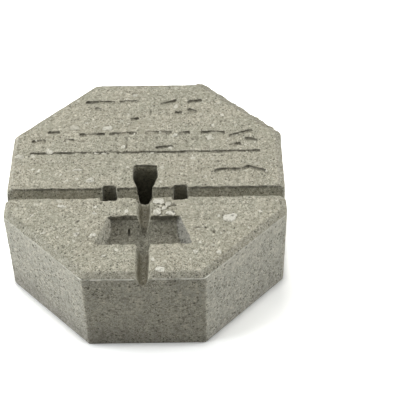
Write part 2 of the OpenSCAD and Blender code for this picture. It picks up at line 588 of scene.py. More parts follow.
    def _rim(self, s: Surface, colour: Sock) -> Sock:
        """Painted shade on the chamfer round the top, and a pale painted highlight along the burr line under
        it, strongest on the front.

        Args:
            s: the surface's values.
            colour: the colour so far.

        Returns:
            The colour at each place.
        """
        g, plan = s.g, s.plan
        # Painted shade on the chamfer.
        chamfer = s.across.step(plan.half_width - 8.1 * MM, plan.half_width - 6.7 * MM)
        chamfer = chamfer * s.z.step(plan.burr_height - 0.3 * MM, plan.burr_height + 0.5 * MM)
        colour = g.mix(chamfer, colour, self.chamfer_shade, "MULTIPLY")
        # Painted highlight: a pale line along the burr, strongest on the front.
        line = abs(s.z - plan.burr_height + 0.3 * MM).step(0.95 * MM, 0.45 * MM) * (1 - s.inside)
        off_channel = abs(s.x - plan.cast_shift).step(7.5 * MM, 9 * MM).larger(s.y.step(-140 * MM, -130 * MM))
        broken = s.noise(12 * MM, 3.0, 0.7).step(0.30, 0.55)
        strength = s.y.step(-143 * MM, -145 * MM) * 0.6 + 0.35
        return g.mix(line * off_channel * broken * strength, colour, self.burr)

    def _recesses(self, s: Surface, colour: Sock) -> Sock:
        """Painted shade on the recesses' floors and in their dark blotches, and a painted shadow under the
        lip of their back walls.

        Args:
            s: the surface's values.
            colour: the colour so far.

        Returns:
            The colour at each place.
        """
        g, sunk, in_slot, below = s.g, s.sunk, s.in_slot, s.below
        # Painted shade: the recess floors are darkened, less in the slots.
        colour = g.mix(sunk * s.level * (1 - in_slot * 0.55), colour, self.recess_shade, "MULTIPLY")
        blotch = s.noise(self.blotch_size, 3.0, 0.75)
        # Dark blotches in the recesses: a random pattern that also darkens them as painted shade.
        colour = g.mix(sunk * blotch.step(0.50, 0.62) * (0.65 - in_slot * 0.35), colour, self.pore_and_shade)
        colour = g.mix(sunk * blotch.step(0.46, 0.34) * 0.4, colour, self.mould_face)
        within = s.across.step(s.plan.half_width - 7 * MM, s.plan.half_width - 8 * MM)
        # Painted shadow: a dark band just under the top edge of walls that face the front.
        front_facing = s.turned[1].step(-0.35, -0.75) * within
        pocket_back = s.y.step(-60 * MM, -62 * MM) * below.step(8 * MM, 5.5 * MM)
        lip = below.step(4.2 * MM, 2.4 * MM).larger(pocket_back) * below.step(0.3 * MM, 1.1 * MM)
        lip = lip * front_facing * s.noise(7 * MM, 2.0, 0.6).step(0.25, 0.55)
        return g.mix(lip * 0.75, colour, self.pore_and_shade)

    def _pocket(self, s: Surface, colour: Sock) -> Sock:
        """Painted shade on the clamp pocket's two side walls, darker and bluer on the right wall, and in the
        deep pit in its floor.

        Args:
            s: the surface's values.
            colour: the colour so far.

        Returns:
            The colour at each place.
        """
        g, plan, x, y = s.g, s.plan, s.x, s.y
        beside = abs(x).step(24 * MM, 28 * MM) * abs(x).step(60 * MM, 57 * MM)
        along = (y - plan.pocket_back_y).step(1 * MM, -1 * MM) * y.step(-112 * MM, -109 * MM)
        wall = beside * along * s.below.step(0.5 * MM, 1.7 * MM)
        colour = g.mix(wall * s.turned[0].step(0.25, 0.55), colour, self.left_wall_shade, "MULTIPLY")
        colour = g.mix(wall * s.turned[0].step(-0.25, -0.55), colour, self.right_wall_shade, "MULTIPLY")
        # Painted shade in the deep pit in the pocket's floor.
        pit = abs(x - plan.pocket_pit_x).step(1.9 * MM, 0.9 * MM) * s.below.step(5 * MM, 6 * MM)
        pit = pit * abs(y - plan.pocket_pit_y).step(4.2 * MM, 2.6 * MM)
        return g.mix(pit * 0.85, colour, self.pore_and_shade)

    def _front_channel(self, s: Surface, colour: Sock) -> Sock:
        """Painted shade on the front channel's walls, and on its rims where it crosses the clamp pocket.

        Args:
            s: the surface's values.
            colour: the colour so far.

        Returns:
            The colour at each place.
        """
        g, sideways = s.g, s.turned[0]
        channel = s.in_front_channel
        # Painted shade on the channel's walls and on its rims in the pocket.
        wall = channel * abs(sideways).step(0.35, 0.7) * s.below.step(0.6 * MM, 1.6 * MM)
        colour = g.mix(wall, colour, self.channel_wall_shade, "MULTIPLY")
        rim = channel * (1 - s.in_slot) * s.below.step(3 * MM, 5 * MM)
        rim = rim * sideways.step(0.2, 0.5).larger(sideways.step(-0.2, -0.5) * 0.6)
        return g.mix(rim, colour, self.pocket_rim_shade, "MULTIPLY")

    def _hole_shade_mask(self, s: Surface) -> Sock:
        """Marks the walls of the rod hole and of the two side holes, below their rims, where dark painted
        shade goes.

        Args:
            s: the surface's values.

        Returns:
            1 on those walls and 0 elsewhere.
        """
        plan, y, below = s.plan, s.y, s.below
        away = abs(s.x - plan.cast_shift)
        wide = away.step(14.5 * MM, 14 * MM) * y.step(-20 * MM, -12 * MM)
        rod = wide.larger(away.step(10 * MM, 9.4 * MM))
        rod = rod * y.step(-34 * MM, -33 * MM) * y.step(11 * MM, 10.5 * MM)
        aside = abs(away - plan.side_hole_x).step(9.2 * MM, 8.6 * MM)
        aside = aside * abs(y - plan.cross_channel_y).step(11.4 * MM, 11 * MM)
        under_channel = below.step(17.8 * MM, 19.5 * MM)
        off_channel = 1 - abs(y - plan.cross_channel_y).step(8.2 * MM, 7.6 * MM)
        deep = under_channel.larger(below.step(1.0 * MM, 4 * MM) * off_channel)
        rod_deep = under_channel.larger(below.step(3 * MM, 12 * MM) * off_channel)
        return (rod * rod_deep).larger(aside * deep)


@dataclass(frozen=True)
class StoneFinish:
    """Exposed river grit: cream and white stones, a few grey ones."""

    white: tuple[float, float, float, float] = rgba(0.78, 0.76, 0.67)
    grey: tuple[float, float, float, float] = rgba(0.50, 0.475, 0.385)
    speck: tuple[float, float, float, float] = rgba(0.40, 0.375, 0.295)
    mortar: tuple[float, float, float, float] = rgba(0.40, 0.38, 0.30)
    roughness: float = 0.7

    def build(self) -> bpy.types.Material:
        """Builds the material, which reads each stone's own tone.

        Returns:
            The finished material.
        """
        material = bpy.data.materials.new("Exposed stone")
        material.use_nodes = True
        g = Graph(material.node_tree)
        place = g.node("ShaderNodeTexCoord").out("Object")
        tone = g.node("ShaderNodeAttribute", {"attribute_name": "tone"}).out("Fac")
        colour = g.mix(tone, self.grey, self.white)
        speck = g.noise(place, 1.2 * MM, 2.0, 0.6)
        colour = g.mix(speck.step(0.50, 0.72) * 0.55, colour, self.speck)
        cover = g.noise(place, 2.6 * MM, 3.0, 0.7)
        colour = g.mix(cover.step(0.52, 0.62) * 0.75, colour, self.mortar)
        bump = g.node("ShaderNodeBump", {}, {"Strength": 0.4, "Distance": 0.2 * MM, "Height": speck})
        values = {"Base Color": colour, "Roughness": self.roughness, "Normal": bump.out(0)}
        g.node("ShaderNodeOutputMaterial", {}, {0: g.node("ShaderNodeBsdfPrincipled", {}, values).out(0)})
        return material


@dataclass(frozen=True)
class Stone:
    """One stone that shows in the top face: its place, its half length and width, and its tone."""

    x: float
    y: float
    length: float
    width: float
    tone: float = 1.0
    turn: float = 0.0


LARGE_STONES: tuple[Stone, ...] = (
    Stone(89, -71, 6.3, 5.0, 0.9, 10),
    Stone(17, -140, 4.2, 3.0, 1.0, 0),
    Stone(14, -45, 5.0, 3.4, 0.8, 20),
    Stone(13, -60, 3.4, 4.2, 0.8, 0),
    Stone(27, -62.5, 4.6, 2.4, 0.75, 0),
    Stone(24, -50, 3.0, 2.6, 0.5, 30),
    Stone(20, -55, 3.2, 2.0, 0.6, 50),
    Stone(-89, -51, 3.0, 2.2, 0.9, 0),
    Stone(-60, -12, 4.0, 3.2, 0.7, 15),
    Stone(-45, 70, 5.0, 3.2, 0.7, 0),
    Stone(-53, -93, 2.8, 2.6, 0.9, 0),
    Stone(-107, 33, 3.0, 2.4, 0.7, 0),
    Stone(-83, 73, 5.2, 3.0, 0.3, 0),
    Stone(-16, 127, 2.6, 2.0, 0.9, 0),
    Stone(77, -119, 2.6, 2.2, 0.9, 0),
    Stone(53, -118, 2.2, 1.8, 0.8, 0),
    Stone(-70, -91, 2.6, 2.0, 0.8, 0),
    Stone(-41, -122, 2.4, 1.8, 0.7, 0),
    Stone(-74, 4, 4.8, 1.6, 0.6, 0),
    Stone(31, 58, 2.6, 2.6, 0.9, 0),
    Stone(70, 52, 3.4, 2.4, 0.6, 0),
    Stone(-140, 26, 4.4, 3.2, 0.5, 0),
)


# ---------------------------------------------------------------------------
# The casting
# ---------------------------------------------------------------------------


def link(name: str, data: Any) -> bpy.types.Object:
    """Puts a mesh, a lamp or a camera in the scene.

    Args:
        name: the new object's name.
        data: the mesh, lamp or camera.

    Returns:
        The new object.
    """
    obj = bpy.data.objects.new(name, data)
    bpy.context.scene.collection.objects.link(obj)
    return obj


def settle(obj: bpy.types.Object) -> None:
    """Turns an object's modifiers into plain mesh and takes the modifiers off.

    Args:
        obj: the object, which keeps its name and place.
    """
    bpy.context.view_layer.update()
    evaluated = obj.evaluated_get(bpy.context.evaluated_depsgraph_get())
    mesh = bpy.data.meshes.new_from_object(evaluated)
    obj.modifiers.clear()
    old, obj.data = obj.data, mesh
    mesh.name = obj.name
    bpy.data.meshes.remove(old)


class Skin:
    """Vertex arrays of a mesh while its surface is being worked."""

    def __init__(self, mesh: bpy.types.Mesh) -> None:
        """Reads the mesh's vertices and edges.

        Args:
            mesh: the mesh that is worked.
        """
        self.mesh = mesh
        count = len(mesh.vertices)
        self.points = np.empty(count * 3)
        mesh.vertices.foreach_get("co", self.points)
        self.points = self.points.reshape(-1, 3)
        edges = np.empty(len(mesh.edges) * 2, dtype=np.int64)
        mesh.edges.foreach_get("vertices", edges)
        self.edges = edges.reshape(-1, 2)
        self.neighbours = np.bincount(self.edges.ravel(), minlength=count).astype(float)

    def normals(self) -> np.ndarray:
        """Outward direction at each vertex.

        Returns:
            One direction for each vertex.
        """
        self.store()
        out = np.empty(len(self.points) * 3)
        self.mesh.vertex_normals.foreach_get("vector", out)
        return out.reshape(-1, 3)

    def average(self, values: np.ndarray) -> np.ndarray:
        """Average of each vertex's neighbours.

        Args:
            values: one value for each vertex.

        Returns:
            One average for each vertex.
        """
        a, b = self.edges[:, 0], self.edges[:, 1]
        count = len(self.points)
        total = np.bincount(a, values[b], count) + np.bincount(b, values[a], count)
        return total / self.neighbours

    def average_points(self) -> np.ndarray:
        """Average place of each vertex's neighbours."""
        return np.stack([self.average(self.points[:, axis]) for axis in range(3)], axis=1)

    def store(self) -> None:
        """Writes the places back to the mesh."""
        self.mesh.vertices.foreach_set("co", self.points.ravel())
        self.mesh.update()


@dataclass(frozen=True)
class UprightRow:
    """A row of soft, evenly spaced upright strokes in the top face, in millimetres."""

    low: float
    high: float
    left: float
    right: float
    pitch: float

    def depth(self, x: np.ndarray, y: np.ndarray) -> np.ndarray:
        """How deep the row's strokes are at each place.

        Args:
            x: places along the row.
            y: places across the row.

        Returns:
            A share of the full depth, from 0 to 1.
        """
        ends = np.clip(np.minimum(x - self.left, self.right - x) / 2, 0, 1)
        row = np.clip(np.minimum(y - self.low, self.high - y) / 2.5, 0, 1) * ends
        away = np.abs((x - self.left) / self.pitch % 1 - 0.5) * self.pitch
        return row * np.clip(1.6 - away / 1.6, 0, 1)


UPRIGHT_ROWS: tuple[UprightRow, ...] = (
    UprightRow(low=36.0, high=57.0, left=-74.0, right=72.0, pitch=11.3),
    UprightRow(low=91.0, high=104.0, left=-52.0, right=30.0, pitch=10.0),
)


@dataclass
class CastBlock:
    """The whole casting, remade from the CAD solid with a cast surface."""

    plan: CastingPlan
    finish: ConcreteFinish = field(default_factory=ConcreteFinish)
    cell: float = 0.9 * MM
    seam: float = 0.005 * MM
    most_triangles: int = 190_000
    edge_wear: float = 2.0 * MM
    end_wear_reach: float = 16 * MM
    hollow_depth: float = 0.45 * MM
    top_grain: float = 0.42 * MM
    recess_grain: float = 0.8 * MM
    side_grain: float = 0.15 * MM
    grain_size: float = 4.5 * MM
    pit_cell: float = 7 * MM
    fine_pit_cell: float = 3.4 * MM
    coarse_patch: float = 34 * MM
    raggedness: float = 1.3 * MM
    crack_depth: float = 2.2 * MM
    pocket_pit_depth: float = 3.0 * MM
    upright_depth: float = 1.1 * MM
    stone_bed_depth: float = 0.9 * MM

    def build(self) -> bpy.types.Object:
        """Makes the casting's mesh and dresses it.

        Returns:
            The finished object, in the row frame.
        """
        obj = self._solid_copy()
        self._remesh(obj)
        self._work_surface(obj.data)
        self._thin(obj)
        self._keep_mesh_inside(obj.data)
        self._mark_hollow_shade(obj.data)
        obj.data.materials.clear()
        obj.data.materials.append(self.finish.build(self.plan))
        obj.data.polygons.foreach_set("use_smooth", self._rounded_faces(obj.data))
        return obj

    def _solid_copy(self) -> bpy.types.Object:
        """Copies the CAD solid and closes its seams.

        Returns:
            The copy, as a new object.
        """
        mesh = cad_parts[NODE].data.copy()
        bm = bmesh.new()
        bm.from_mesh(mesh)
        bmesh.ops.remove_doubles(bm, verts=bm.verts, dist=self.seam)
        bm.to_mesh(mesh)
        bm.free()
        return link("cast_block", mesh)

    def _remesh(self, obj: bpy.types.Object) -> None:
        """Covers the solid with small even faces.

        Args:
            obj: the casting.
        """
        remesh = obj.modifiers.new("Even faces", "REMESH")
        remesh.mode = "VOXEL"
        remesh.voxel_size = self.cell
        settle(obj)

    def _thin(self, obj: bpy.types.Object) -> None:
        """Takes out the faces that flat stretches don't need.

        Args:
            obj: the casting.
        """
        triangles = sum(len(p.vertices) - 2 for p in obj.data.polygons)
        thin = obj.modifiers.new("Thin", "DECIMATE")
        thin.ratio = min(1.0, self.most_triangles / triangles)
        settle(obj)

    def _rounded_faces(self, mesh: bpy.types.Mesh) -> list[bool]:
        """Picks the faces that are shaded smooth: all but those of the flat underside.

        Args:
            mesh: the casting's mesh.

        Returns:
            True or False for each face.
        """
        facing, middle = np.empty(len(mesh.polygons) * 3), np.empty(len(mesh.polygons) * 3)
        mesh.polygons.foreach_get("normal", facing)
        mesh.polygons.foreach_get("center", middle)
        return ((facing[2::3] > -0.8) | (middle[2::3] > 0.6 * MM)).tolist()

    def _faces(self, points: np.ndarray, normals: np.ndarray) -> dict[Face, np.ndarray]:
        """How far each vertex belongs to each kind of surface.

        Args:
            points: places of the vertices.
            normals: outward direction at each vertex.

        Returns:
            A share from 0 to 1 for each vertex, by kind of surface.
        """
        plan = self.plan
        outer = np.clip((plan.octagon_distance(points) - plan.half_width + 2 * MM) / MM, 0, 1)
        low = np.clip((plan.burr_height + MM - points[:, 2]) / MM, 0, 1)
        under = np.clip((0.8 * MM - points[:, 2]) / (0.5 * MM), 0, 1) * (normals[:, 2] < -0.5)
        top = np.clip((points[:, 2] - plan.height + plan.top_chamfer + 3 * MM) / (2 * MM), 0, 1)
        top = top * np.clip((normals[:, 2] - 0.3) / 0.4, 0, 1)
        side = outer * low * (1 - under)
        recess = np.clip(1 - top - side - under, 0, 1)
        return {Face.TOP: top, Face.SIDE: side, Face.UNDERSIDE: under, Face.RECESS: recess}

    def _work_surface(self, mesh: bpy.types.Mesh) -> None:
        """Rounds and breaks the edges, then roughens every face inwards.

        Args:
            mesh: the casting's mesh.
        """
        skin = Skin(mesh)
        faces = self._faces(skin.points, skin.normals())
        free = 1 - faces[Face.UNDERSIDE]
        for _ in range(2):
            skin.points += 0.3 * free[:, None] * (skin.average_points() - skin.points)
        self._loosen_strokes(skin.points)
        normals = skin.normals()
        p = skin.points.copy()
        depth = self._grain(p, faces)
        depth += self._wear(skin, normals)
        depth -= self._flash(p)
        depth += faces[Face.TOP] * (self._broken_places(p) + self._upright_strokes(p) + self._stone_beds(p))
        depth += faces[Face.RECESS] * self._pocket_pit(p)
        skin.points -= normals * (depth * free)[:, None]
        self._keep_inside(skin.points)
        skin.store()

    def _grain(self, p: np.ndarray, faces: dict[Face, np.ndarray]) -> np.ndarray:
        """Depth of the cast grain and its pits at each vertex.

        Args:
            p: places of the vertices.
            faces: the kinds of surface that each vertex belongs to.

        Returns:
            One depth for each vertex.
        """
        grain = 0.5 + 0.5 * LatticeNoise(21).layered(p, self.grain_size, 3)
        swell = 0.5 + 0.5 * LatticeNoise(31).smooth(p, 45 * MM)
        pits = LatticeNoise(41).hollows(p, self.pit_cell, 0.30, 0.3)
        fine_pits = LatticeNoise(51).hollows(p, self.fine_pit_cell, 0.25, 0.4)
        coarse = np.clip(1.6 * LatticeNoise(33).layered(p, self.coarse_patch, 2), 0, 1)
        streak = 0.3 + 0.3 * LatticeNoise(61).smooth(p, 5 * MM, (1, 1, 12))
        top = self.top_grain * grain * (1 + coarse) + 0.3 * MM * swell
        top += (0.9 + 0.8 * coarse) * MM * pits + (0.6 + 0.5 * coarse) * MM * fine_pits
        recess = self.recess_grain * grain + 1.0 * MM * fine_pits
        side = self.side_grain * (grain + streak)
        side += 1.2 * MM * pits * (pits > 0.25) + 0.5 * MM * fine_pits
        depth = faces[Face.TOP] * top + faces[Face.RECESS] * recess + faces[Face.SIDE] * side
        burr = np.clip(1 - np.abs(p[:, 2] - self.plan.burr_height) / (1.3 * MM), 0, 1)
        outer = self.plan.octagon_distance(p) > self.plan.half_width - 1.5 * MM
        return depth * (1 - burr * outer)

    def _loosen_strokes(self, points: np.ndarray) -> None:
        """Makes the shallow strokes ragged and uneven in depth, and the recesses' rims uneven.

        Args:
            points: places of the vertices, which are moved.
        """
        plan = self.plan
        start = points.copy()
        below = plan.height - points[:, 2]
        inside = np.clip((plan.half_width - 9 * MM - plan.octagon_distance(points)) / (3 * MM), 0, 1)
        near_top = np.clip((5.5 * MM - below) / (2 * MM), 0, 1) * inside
        for axis, seed in ((0, 91), (1, 95)):
            points[:, axis] += near_top * self.raggedness * LatticeNoise(seed).layered(start, 5.5 * MM, 3)
        behind = np.clip((start[:, 1] - plan.cross_channel_y - 12 * MM) / (4 * MM), 0, 1)
        strokes = behind * inside * (below > 0.3 * MM) * (below < plan.stroke_depth + 0.6 * MM)
        filled = np.clip(0.14 + 0.7 * LatticeNoise(101).layered(start, 13 * MM, 3), 0, 0.65)
        filled *= np.clip((start[:, 1] - 15 * MM) / (6 * MM), 0, 1)
        points[:, 2] += strokes * filled * below

    def _flash(self, p: np.ndarray) -> np.ndarray:
        """Height of the lumpy flash along the burr, most of all on the back right side.

        Args:
            p: places of the vertices.

        Returns:
            One height for each vertex.
        """
        plan = self.plan
        diagonal = (p[:, 0] + p[:, 1]) / math.sqrt(2)
        back_right = np.clip((diagonal - plan.half_width + 6 * MM) / (2 * MM), 0, 1)
        reach = (1.6 + 0.8 * back_right) * MM
        at_burr = np.clip(1.4 - np.abs(p[:, 2] - plan.burr_height - 0.8 * MM) / reach, 0, 1)
        outer = plan.octagon_distance(p) > plan.half_width - 4.5 * MM
        lumps = np.clip(0.45 + 0.9 * LatticeNoise(111).layered(p, 7 * MM, 2), 0, 1)
        bumps = LatticeNoise(113).layered(p, 4 * MM, 2)
        return at_burr * outer * (0.25 * lumps + back_right * (1.6 + 1.5 * bumps)) * MM

    def _wear(self, skin: Skin, normals: np.ndarray) -> np.ndarray:
        """Depth that edges have crumbled by, most of all at the ends of the cross channel.

        Args:
            skin: the casting's surface.
            normals: outward direction at each vertex.

        Returns:
            One depth for each vertex.
        """
        p = skin.points
        edge = np.einsum("ij,ij->i", p - skin.average_points(), normals) / self.cell
        edge = np.clip(edge * 6, 0, 1)
        for _ in range(3):
            edge = 0.5 * edge + 0.5 * skin.average(edge)
        crumble = LatticeNoise(11).layered(p, 9 * MM, 4)
        worn = np.clip(crumble + 0.2, 0, 1)
        plan = self.plan
        end = np.array([plan.half_width, plan.cross_channel_y, plan.height])
        from_end = np.linalg.norm((np.abs(p * (1, 0, 0)) + p * (0, 1, 1)) - end, axis=1)
        worn += 0.9 * np.clip(1 - from_end / self.end_wear_reach, 0, 1)
        off_floor = np.clip((p[:, 2] - 3 * MM) / (2 * MM), 0, 1)
        return edge * worn * self.edge_wear * off_floor

    def _broken_places(self, p: np.ndarray) -> np.ndarray:
        """Depth of the broken patch, the crack and the deep pit in the top face.

        Args:
            p: places of the vertices.

        Returns:
            One depth for each vertex.
        """
        x, y = p[:, 0] / MM, p[:, 1] / MM
        patch = np.clip(1.25 - np.hypot((x - 19.5) / 15, (y + 54) / 12), 0, 1)
        lumps = np.clip(0.5 + LatticeNoise(71).layered(p, 5 * MM, 2), 0, 1)
        broken = np.clip(patch * 3, 0, 1) * (0.3 + 2.0 * lumps) * MM
        bend = 0.9 * LatticeNoise(81).smooth(p, 5 * MM)
        crack = np.clip(1 - np.abs(y + 84 + bend) / 1.4, 0, 1)
        crack *= np.clip((7.5 - np.abs(x - 58.5)) / 2, 0, 1)
        pit = np.clip(1.3 - np.hypot(x - 72, y + 90) / 2.0, 0, 1)
        return broken + (crack + pit) * self.crack_depth

    def _pocket_pit(self, p: np.ndarray) -> np.ndarray:
        """Depth of the one deep pit in the clamp pocket's floor.

        Args:
            p: places of the vertices.

        Returns:
            One depth for each vertex.
        """
        aside = (p[:, 0] - self.plan.pocket_pit_x) / (1.6 * MM)
        along = (p[:, 1] - self.plan.pocket_pit_y) / (3.2 * MM)
        return np.clip(1.5 - np.hypot(aside, along), 0, 1) * self.pocket_pit_depth

    def _upright_strokes(self, p: np.ndarray) -> np.ndarray:
        """Depth of the soft upright strokes that stand in the two rows.

        Args:
            p: places of the vertices.

        Returns:
            One depth for each vertex.
        """
        x, y = p[:, 0] / MM, p[:, 1] / MM
        depth = np.zeros(len(p))
        for row in UPRIGHT_ROWS:
            depth = np.maximum(depth, row.depth(x, y))
        wander = LatticeNoise(121).layered(p * (1, 1, 0), 14 * MM, 2)
        return depth * np.clip(0.45 + 1.1 * wander, 0, 1) * self.upright_depth

    def _stone_beds(self, p: np.ndarray) -> np.ndarray:
        """Depth of the crevice round each large stone.

        Args:
            p: places of the vertices.

        Returns:
            One depth for each vertex.
        """
        depth = np.zeros(len(p))
        for s in LARGE_STONES:
            turn = math.radians(s.turn)
            dx, dy = p[:, 0] - s.x * MM, p[:, 1] - s.y * MM
            along = (dx * math.cos(turn) + dy * math.sin(turn)) / (s.length * MM)
            aside = (dy * math.cos(turn) - dx * math.sin(turn)) / (s.width * MM)
            depth = np.maximum(depth, np.clip(1.5 - np.hypot(along, aside), 0, 0.5) * 2)
        return depth * self.stone_bed_depth

    def _keep_inside(self, points: np.ndarray) -> None:
        """Holds every vertex within the CAD solid's own box."""
        np.clip(points, np.array(self.plan.low), np.array(self.plan.high), out=points)

    def _keep_mesh_inside(self, mesh: bpy.types.Mesh) -> None:
        """Holds the finished mesh within the CAD solid's own box.

        Args:
            mesh: the casting's mesh.
        """
        skin = Skin(mesh)
        self._keep_inside(skin.points)
        skin.store()

    def _mark_hollow_shade(self, mesh: bpy.types.Mesh) -> None:
        """Stores how hollow the surface is at each vertex, which the material darkens as painted shade.

        Args:
            mesh: the casting's mesh.
        """
        skin = Skin(mesh)
        normals = skin.normals()
        start = skin.points.copy()
        for _ in range(3):
            skin.points = skin.average_points()
        hollow = np.einsum("ij,ij->i", skin.points - start, normals)
        skin.points = start
        skin.store()
        marks = mesh.attributes.new("hollow", "FLOAT", "POINT")
        off_floor = np.clip((start[:, 2] - 1 * MM) / (2 * MM), 0, 1)
        marks.data.foreach_set("value", off_floor * np.clip(hollow / self.hollow_depth - 0.15, 0, 1))


# ---------------------------------------------------------------------------
# Exposed stones
# ---------------------------------------------------------------------------


@dataclass
class ExposedStones:
    """Stones that show at the surface: a few large ones in their places and many small ones."""

    plan: CastingPlan
    finish: StoneFinish = field(default_factory=StoneFinish)
    small_stones: int = 170
    seed: int = 7
    sunk: float = 0.55 * MM
    flatness: float = 0.35
    lumpiness: float = 1.0
    lump_size: float = 2.4 * MM
    lump_height: float = 6 * MM
    top_gap: float = 0.05 * MM
    large: tuple[Stone, ...] = LARGE_STONES

    def build(self) -> bpy.types.Object:
        """Makes the stones.

        Returns:
            The finished object, in the row frame.
        """
        obj = link("exposed_stones", self._markers())
        tree = self._tree(self.finish.build())
        grow = obj.modifiers.new("Stones", "NODES")
        grow.node_group = tree
        amounts = {"Flatness": self.flatness, "Lumpiness": self.lumpiness}
        for item in tree.interface.items_tree:
            if item.in_out == "INPUT" and item.name in amounts:
                grow[item.identifier] = amounts[item.name]
        settle(obj)
        skin = Skin(obj.data)
        highest = np.array(self.plan.high) - self.top_gap
        np.clip(skin.points, np.array(self.plan.low), highest, out=skin.points)
        skin.store()
        return obj

    def _markers(self) -> bpy.types.Mesh:
        """One vertex for each stone, with its size, turn and tone.

        Returns:
            The mesh that the stones grow on.
        """
        rng = np.random.default_rng(self.seed)
        places, sizes, turns, tones = [], [], [], []
        for s in self.large:
            places.append((s.x * MM, s.y * MM, self.plan.height - self.sunk - 0.3 * MM))
            sizes.append((s.length * 1.15 * MM, s.width * 1.1 * MM, 1.5 * MM))
            turns.append((0, 0, math.radians(s.turn)))
            tones.append(s.tone)
            aside = rng.choice((-0.62, 0.62), 2) * (s.length, s.width)
            places.append(((s.x + aside[0]) * MM, (s.y + aside[1]) * MM, places[-1][2]))
            sizes.append((s.length * 0.62 * MM, s.width * 0.72 * MM, 1.4 * MM))
            turns.append((0, 0, rng.uniform(0, math.pi)))
            tones.append(s.tone * rng.uniform(0.75, 1.0))
        reach = self.plan.half_width - 8 * MM
        while len(places) < 2 * len(self.large) + self.small_stones:
            x, y = rng.uniform(-reach, reach, 2)
            if self._is_open(x, y, reach):
                continue
            size = (0.8 + 1.5 * rng.random() ** 2.6) * MM
            places.append((x, y, self.plan.height - self.sunk - 0.15 * MM))
            sizes.append((size * rng.uniform(1.1, 1.7), size, 0.95 * MM))
            turns.append((rng.uniform(-0.25, 0.25), rng.uniform(-0.25, 0.25), rng.uniform(0, math.pi)))
            tones.append(rng.uniform(0.2, 1.0))
        mesh = bpy.data.meshes.new("stone_markers")
        mesh.from_pydata(places, [], [])
        mesh.attributes.new("size", "FLOAT_VECTOR", "POINT").data.foreach_set("vector", np.ravel(sizes))
        mesh.attributes.new("turn", "FLOAT_VECTOR", "POINT").data.foreach_set("vector", np.ravel(turns))
        mesh.attributes.new("tone", "FLOAT", "POINT").data.foreach_set("value", np.ravel(tones))
        return mesh

    def _is_open(self, x: float, y: float, reach: float) -> bool:
        """Whether a place on the top face is off the block or over one of its openings.

        Args:
            x: place from left to right.
            y: place from front to back.
            reach: how far from the middle stones may lie.

        Returns:
            True where no stone may lie.
        """
        plan = self.plan
        if max(abs(x), abs(y), (abs(x) + abs(y)) / math.sqrt(2)) > reach:
            return True
        margin = 3 * MM
        if abs(y - plan.cross_channel_y) < plan.channel_width / 2 + margin:
            return True
        aside = abs(x - plan.cast_shift)
        if aside < plan.channel_width / 2 + margin and y < 14 * MM:
            return True
        if aside < 17 * MM and -16 * MM < y < 14 * MM:
            return True
        in_pocket = plan.pocket_back_y + margin > y > plan.pocket_back_y - plan.pocket_length - margin
        return in_pocket and aside < 54 * MM

    def _tree(self, material: bpy.types.Material) -> bpy.types.NodeTree:
        """Geometry Nodes that grow a lumpy stone on each marker.

        Args:
            material: the stones' material.

        Returns:
            The tree.
        """
        tree = bpy.data.node_groups.new("Grow stones", "GeometryNodeTree")
        tree.interface.new_socket(name="Markers", in_out="INPUT", socket_type="NodeSocketGeometry")
        for amount in ("Flatness", "Lumpiness"):
            tree.interface.new_socket(name=amount, in_out="INPUT", socket_type="NodeSocketFloat")
        tree.interface.new_socket(name="Stones", in_out="OUTPUT", socket_type="NodeSocketGeometry")
        g = Graph(tree)
        given = g.node("NodeGroupInput")
        vector = {"data_type": "FLOAT_VECTOR"}
        size = g.node("GeometryNodeInputNamedAttribute", vector, {"Name": "size"}).out("Attribute")
        turn = g.node("GeometryNodeInputNamedAttribute", vector, {"Name": "turn"}).out("Attribute")
        ball = g.node("GeometryNodeMeshIcoSphere", {}, {"Radius": 1.0, "Subdivisions": 2}).out("Mesh")
        turned = g.node("FunctionNodeEulerToRotation", {}, {0: turn}).out(0)
        values = {"Points": given.out("Markers"), "Instance": ball, "Rotation": turned, "Scale": size}
        stones = g.node("GeometryNodeInstanceOnPoints", {}, values).out(0)
        stones = g.node("GeometryNodeRealizeInstances", {}, {"Geometry": stones}).out(0)
        place = g.node("GeometryNodeInputPosition").out(0)
        values = {"Vector": place, "Scale": 1 / self.lump_size, "Detail": 2.0}
        lumps = g.node("ShaderNodeTexNoise", {}, values).out("Color")
        middle = (0.5, 0.5, 0.5)
        lumps = g.node("ShaderNodeVectorMath", {"operation": "SUBTRACT"}, {0: lumps, 1: middle}).out(0)
        values = {0: lumps, "Scale": given.out("Lumpiness") * self.lump_height}
        lumps = g.node("ShaderNodeVectorMath", {"operation": "SCALE"}, values).out(0)
        flat = g.node("ShaderNodeCombineXYZ", {}, {0: 1.0, 1: 1.0, 2: given.out("Flatness")}).out(0)
        lumps = g.node("ShaderNodeVectorMath", {"operation": "MULTIPLY"}, {0: lumps, 1: flat}).out(0)
        stones = g.node("GeometryNodeSetPosition", {}, {"Geometry": stones, "Offset": lumps}).out(0)
        stones = g.node("GeometryNodeSetShadeSmooth", {}, {"Geometry": stones, "Shade Smooth": False}).out(0)
        stones = g.node("GeometryNodeSetMaterial", {}, {"Geometry": stones, "Material": material}).out(0)
        g.node("NodeGroupOutput", {}, {0: stones})
        return tree


# ---------------------------------------------------------------------------
# Studio
# ---------------------------------------------------------------------------


@dataclass(frozen=True)
class Lamp:
    """A square soft light that aims at the block."""

    name: str
    azimuth: float
    elevation: float
    distance: float
    size: float
    power: float
    colour: tuple[float, float, float] = (1.0, 1.0, 1.0)


@dataclass(frozen=True)
class View:
    """Where the camera stands and how it looks at the block."""

    place: tuple[float, float, float] = (0.0580, -0.9120, 0.9983)
    elevation: float = 45.7
    azimuth: float = 0.0
    roll: float = -0.81
    lens: float = 105.35
    sensor: float = 36.0


